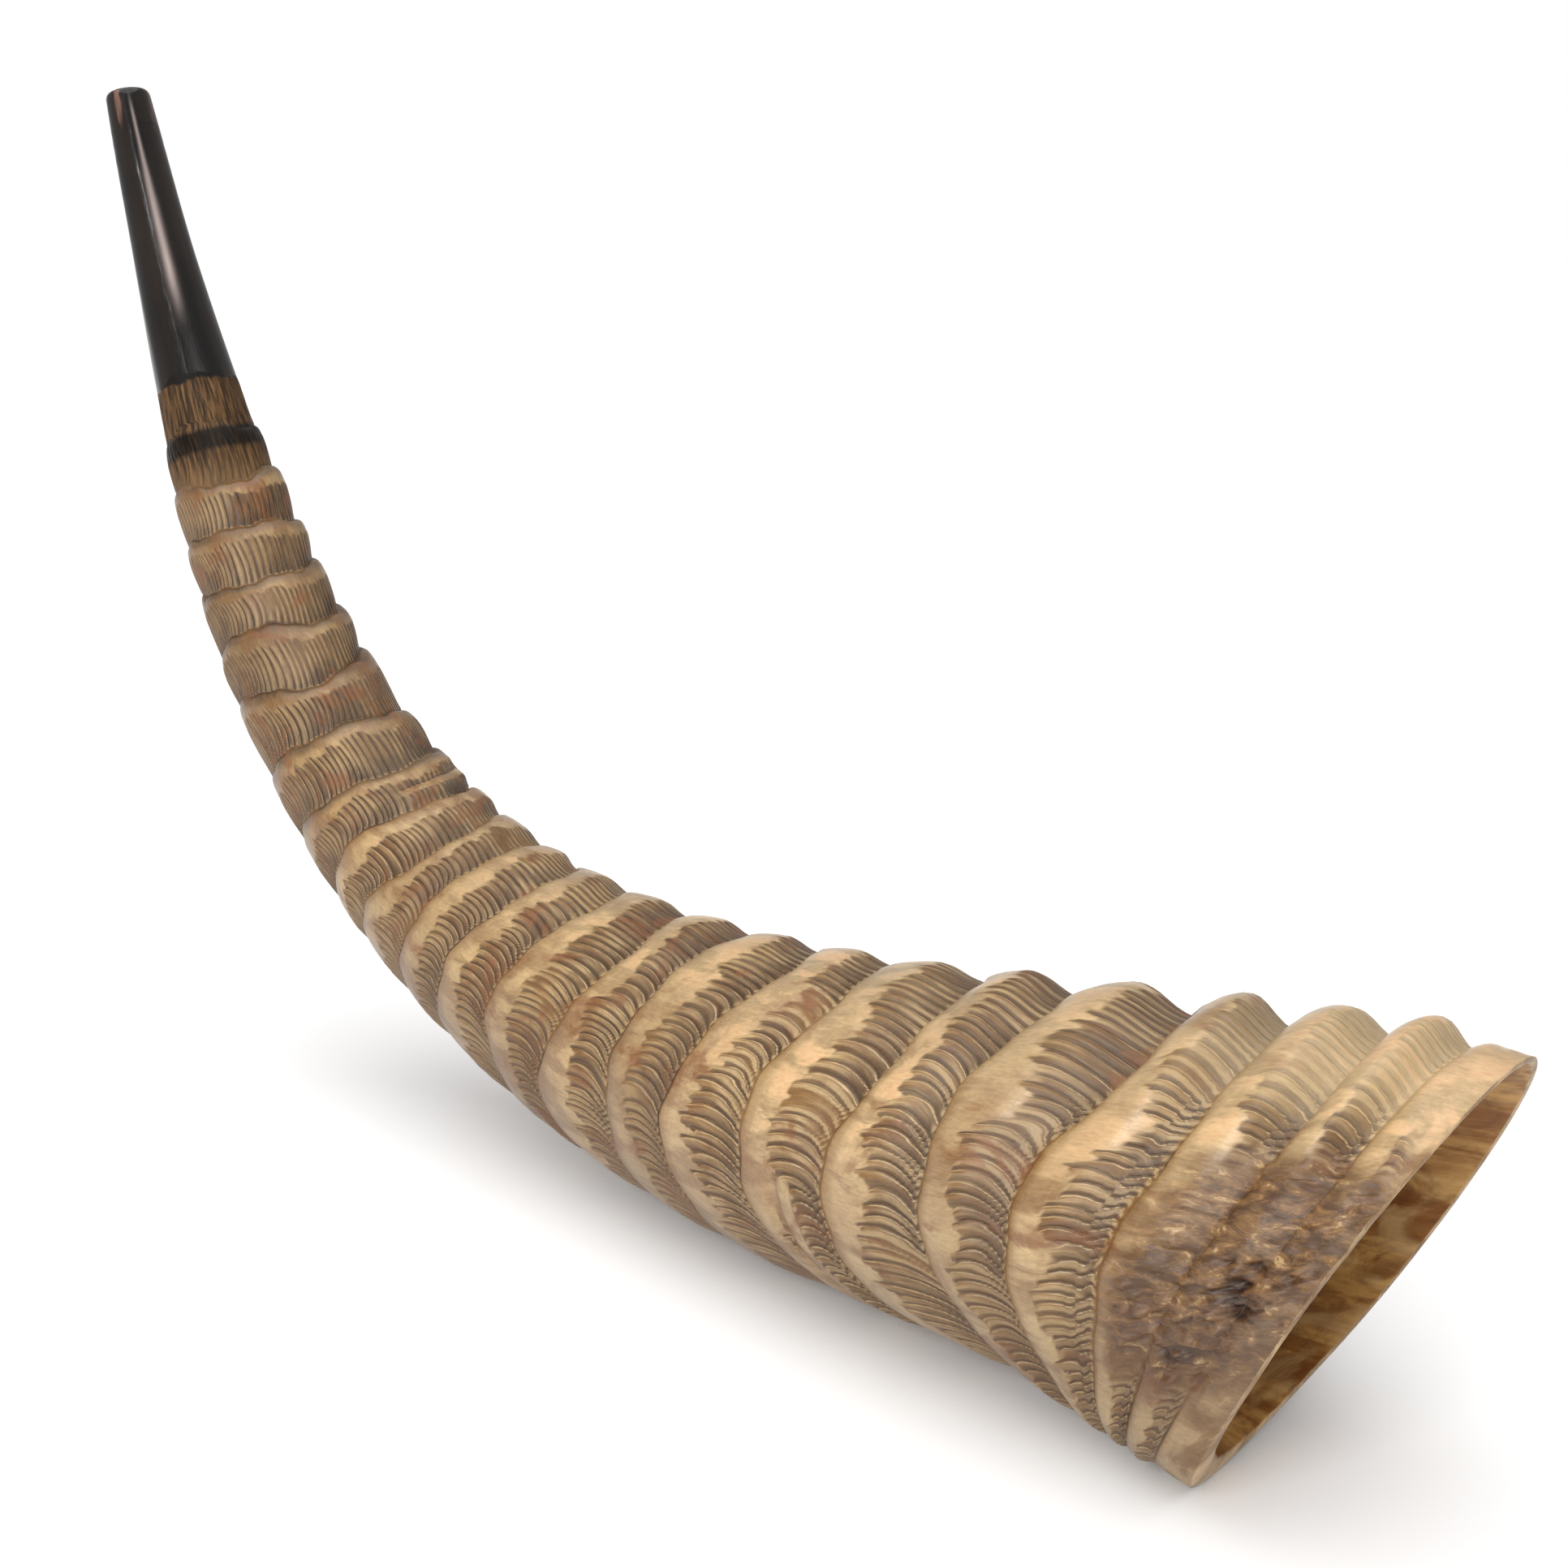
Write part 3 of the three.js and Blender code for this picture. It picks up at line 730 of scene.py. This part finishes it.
    # dark notches, partly real cracks and partly painted shadow; a painted highlight along the top and the
    # upper crests; a darker underside, partly browner horn and partly painted shade; and grit over all of
    # it
    colour = g.over(colour, lin(66, 44, 28), g.range(g.mask("notch_crack_and_shade"), 0.15, 0.9), 0.80)
    colour = g.over(colour, lin(246, 226, 186), g.mask("lit"), 0.58)
    colour = g.over(colour, lin(88, 60, 34), g.mask("under"), 0.48)
    colour = g.mix(1.0, colour, DULL, "MULTIPLY")
    grit = g.mix(g.range(fine, 0.3, 0.7), lin(100, 96, 90), lin(160, 158, 154))
    colour = g.mix(0.45, colour, grit, "OVERLAY")

    # the amber inside, with painted shade that darkens it further in
    grain = g.noise(16, 150, 6, 0.6, 0.8)
    amber = g.mix(g.range(grain, 0.38, 0.62), lining, lin(200, 156, 92))
    amber = g.over(amber, lin(112, 66, 28), g.range(blotch, 0.44, 0.62), 0.70)
    amber = g.over(amber, lin(216, 182, 128), g.range(patch, 0.50, 0.66), 0.6)
    amber = g.mix(g.range(g.mask("share"), 0.95, 0.66), amber, lin(56, 34, 16))
    colour = g.mix(g.range(g.mask("inside"), 0.3, 0.9), colour, amber)
    rough = g.range(g.mask("crest"), 0.0, 1.0, 0.46, 0.30)
    height = g.math("ADD", g.math("MULTIPLY", streak, 0.6), g.math("MULTIPLY", fine, 0.35))
    height = g.math("ADD", height, g.math("MULTIPLY", across, 0.2))
    height = g.math("SUBTRACT", height, g.math("MULTIPLY", g.math("MULTIPLY", groove_shade, fluted), 0.6))
    return g.finish(colour, rough, height, 0.55, 0.0005)


def black_horn(name):
    """Filed and polished black horn: faint scratches, brown at the lip, and a painted highlight."""
    g = Graph(name)
    smoke = g.noise(12, 120, 4, 0.6)
    scratch = g.noise(80, 2600, 3, 0.6)
    colour = g.mix(g.range(smoke, 0.35, 0.7), lin(12, 10, 9), lin(34, 26, 21))
    near_lip = g.range(g.mask("share"), 0.035, 0.0)
    streak = g.math("MULTIPLY", g.range(g.noise(30, 420, 3, 0.5), 0.56, 0.66), near_lip)
    colour = g.over(colour, lin(150, 112, 100), streak, 0.5)
    colour = g.over(colour, lin(176, 160, 154), g.mask("gleam"), g.range(smoke, 0.25, 0.6, 0.45, 0.85))
    colour = g.mix(g.range(g.mask("inside"), 0.3, 0.9), colour, lin(38, 28, 20))
    rough = g.range(scratch, 0.3, 0.75, 0.07, 0.20)
    return g.finish(colour, rough, scratch, 0.10, 0.0002, Specular_IOR_Level=0.4)


def neck_horn(name):
    """Scraped brown horn: golden lengthwise fibres, then a dark band at the first ring."""
    g = Graph(name)
    fibre = g.noise(60, 1150, 5, 0.6)
    cloud = g.noise(60, 120, 4, 0.6)
    colour = g.mix(g.range(fibre, 0.38, 0.68), lin(42, 30, 20), lin(108, 80, 50))
    colour = g.over(colour, lin(60, 38, 23), g.range(cloud, 0.4, 0.7), 0.5)
    wobble = g.math("MULTIPLY", g.math("SUBTRACT", cloud, 0.5), 0.008)
    share = g.math("ADD", g.mask("share"), wobble)
    colour = g.mix(g.range(share, 0.203, 0.226, 0.0, 0.45), colour, lin(138, 110, 76))
    band = g.math("MULTIPLY", g.range(share, 0.188, 0.1915), g.range(share, 0.2045, 0.200))
    colour = g.over(colour, lin(6, 5, 4), band, 0.88)
    # painted shade in the flute grooves of the first rings
    groove_shade = g.math("MULTIPLY", g.range(g.wave(0.05), 0.5, 0.95), g.mask("fluted"))
    colour = g.over(colour, lin(58, 42, 30), groove_shade, 0.85)
    colour = g.mix(g.range(share, 0.1625, 0.1605), colour, lin(20, 16, 14))
    colour = g.mix(g.range(g.mask("inside"), 0.3, 0.9), colour, lin(46, 32, 22))
    rough = g.range(band, 0.0, 1.0, 0.5, 0.3)
    return g.finish(colour, rough, fibre, 0.6, 0.0004, Specular_IOR_Level=0.12)


# Screen colours of each ringed zone: crest lip, crest, finger, groove (painted shade and dark streaks),
# pale edge (painted highlight, and pale streaks and clouds), warm patch, lining.
UPPER_TONES = ((82, 62, 42), (150, 120, 84), (150, 116, 72), (52, 38, 24),
               (206, 176, 130), (116, 84, 50), (92, 62, 34))
MIDDLE_TONES = ((158, 124, 80), (198, 166, 126), (162, 124, 72), (64, 44, 24),
                (224, 198, 152), (132, 94, 50), (112, 76, 38))
BELL_TONES = ((174, 138, 88), (212, 182, 142), (166, 128, 74), (70, 48, 26),
              (236, 212, 168), (136, 96, 48), (142, 92, 42))
looks = {
    "lip": black_horn("lip_horn"),
    "tip": black_horn("black_horn"),
    "neck": neck_horn("neck_horn"),
    "upper": ringed_horn("upper_horn", *UPPER_TONES),
    "middle": ringed_horn("middle_horn", *MIDDLE_TONES),
    "bell": ringed_horn("bell_horn", *BELL_TONES),
}
for key, mat in looks.items():
    pieces[key].data.materials.append(mat)

# ---------------------------------------------------------------- floor, light, camera
FLOOR_HALF = 9
floor_mesh = bpy.data.meshes.new("floor")
corners = [(x * FLOOR_HALF, y * FLOOR_HALF, 0) for x, y in ((-1, -1), (1, -1), (1, 1), (-1, 1))]
floor_mesh.from_pydata(corners, [], [(0, 1, 2, 3)])
floor = bpy.data.objects.new("floor", floor_mesh)
bpy.context.scene.collection.objects.link(floor)
g = Graph("floor_paper")
floor.data.materials.append(g.finish(lin(246, 246, 246), 0.9, Specular_IOR_Level=0.1))

world = bpy.data.worlds.new("studio")
world.use_nodes = True
tree = world.node_tree
WORLD_LIGHT, WORLD_SEEN = 0.50, 1.0      # how bright the world is to the horn, and to the camera
rays, level = tree.nodes.new("ShaderNodeLightPath"), tree.nodes.new("ShaderNodeMapRange")
tree.links.new(rays.outputs["Is Camera Ray"], level.inputs["Value"])
level.inputs["To Min"].default_value, level.inputs["To Max"].default_value = WORLD_LIGHT, WORLD_SEEN
tree.links.new(level.outputs[0], tree.nodes["Background"].inputs["Strength"])
tree.nodes["Background"].inputs["Color"].default_value = (1, 1, 1, 1)
bpy.context.scene.world = world

sun = bpy.data.lights.new("softbox", "SUN")
sun.energy, sun.angle = 2.2, math.radians(80)
sun_object = bpy.data.objects.new("softbox", sun)
sun_object.rotation_euler = Vector((-0.10, 0.14, -1.0)).to_track_quat("-Z", "Y").to_euler()
bpy.context.scene.collection.objects.link(sun_object)


def lamp(name, at, size, watts, target):
    """A rectangular lamp that faces the target."""
    data = bpy.data.lights.new(name, "AREA")
    data.shape = "RECTANGLE"
    data.size, data.size_y = size
    data.energy = watts
    o = bpy.data.objects.new(name, data)
    bpy.context.scene.collection.objects.link(o)
    o.location = at
    o.rotation_euler = (Vector(target) - Vector(at)).to_track_quat("-Z", "Y").to_euler()


lamp("strip", (0.27, -0.86, 0.42), (0.03, 0.7), 6.0, (-0.2, 0.0, 0.2))

# The camera's direction, and its place from the middle of the mouth, both solved against the photo.
AZIMUTH, PITCH, LENS = math.radians(42.68), math.radians(15.51), 44.68
FROM_MOUTH = (0.1519, -0.3449, 0.1973)
mouth_x, mouth_z = CUT_POINT[0] * MM, CUT_POINT[2] * MM
cam_data = bpy.data.cameras.new("camera")
cam_data.sensor_width = 36
cam_data.lens = LENS
cam_data.clip_start = 0.01
camera = bpy.data.objects.new("camera", cam_data)
bpy.context.scene.collection.objects.link(camera)
camera.location = (mouth_x + FROM_MOUTH[0], FROM_MOUTH[1], mouth_z + FROM_MOUTH[2])
look = Vector((-math.sin(AZIMUTH) * math.cos(PITCH), math.cos(AZIMUTH) * math.cos(PITCH), -math.sin(PITCH)))
camera.rotation_euler = look.to_track_quat("-Z", "Y").to_euler()
bpy.context.scene.camera = camera
bpy.context.scene.view_settings.view_transform = "Standard"
